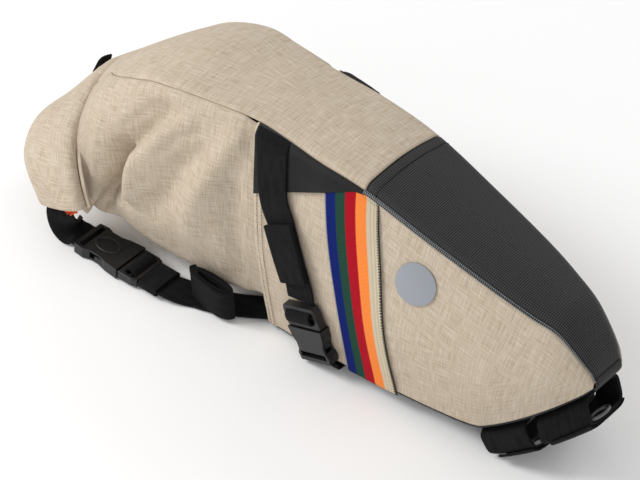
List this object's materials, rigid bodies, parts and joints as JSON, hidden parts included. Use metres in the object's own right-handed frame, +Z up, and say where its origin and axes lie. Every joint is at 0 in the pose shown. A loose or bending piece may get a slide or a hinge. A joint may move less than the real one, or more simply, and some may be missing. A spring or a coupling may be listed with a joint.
{
  "type": "bicycle seat pack",
  "caption": "Soft roll-top bag that straps under a bicycle saddle and round the seatpost, with side buckles, a striped ribbon and a reflective dot.",
  "frame": {"origin": "bottom centre of the box round the pack as it lies on a surface", "axes": "+X towards the nose, -Y towards the side with the picture's ribbon, +Z up from the surface it lies on"},
  "size_m": [0.514, 0.2106, 0.1732],
  "materials": {
    "binding": "speckled woven tape",
    "buckle": "satin moulded",
    "coated": "smooth coated cloth",
    "lining": "smooth thin cloth",
    "reflector": "reflective film",
    "ribbon": "woven stripes",
    "ring": "satin moulded",
    "tan": "matte woven, heathered",
    "textured": "matte dotted weave",
    "webbing": "matte woven webbing"
  },
  "bodies": {
    "root": {"coated_triangle_far": "coated", "coated_triangle_near": "coated", "light_loop": "webbing", "mouth_lining_far": "lining", "mouth_lining_near": "lining", "nose_binding": "binding", "nose_panel": "textured", "rear_buckle_plug_far": "buckle", "rear_buckle_plug_near": "buckle", "rear_buckle_socket_far": "buckle", "rear_buckle_socket_near": "buckle", "rear_strap_far": "webbing", "rear_strap_near": "webbing", "reflective_dot_far": "reflector", "reflective_dot_near": "reflector", "roll_strap_far": "webbing", "roll_strap_near": "webbing", "roll_top_sleeve": "tan", "rolled_mouth": "tan", "rolled_tail_far": "webbing", "rolled_tail_near": "webbing", "saddle_panel": "coated", "seatpost_panel": "textured", "seatpost_strap_lower": "webbing", "seatpost_strap_upper": "webbing", "side_buckle_plug_far": "buckle", "side_buckle_plug_near": "buckle", "side_buckle_socket_far": "buckle", "side_buckle_socket_near": "buckle", "side_panel_far": "tan", "side_panel_near": "tan", "side_strap_base_far": "webbing", "side_strap_base_near": "webbing", "side_strap_far": "webbing", "side_strap_near": "webbing", "strap_keeper_far": "webbing", "strap_keeper_near": "webbing", "strap_ring_lower": "ring", "strap_ring_upper": "ring", "strap_tail_far": "webbing", "strap_tail_near": "webbing", "striped_ribbon_far": "ribbon", "striped_ribbon_near": "ribbon", "top_panel": "tan"}
  },
  "joints": []
}
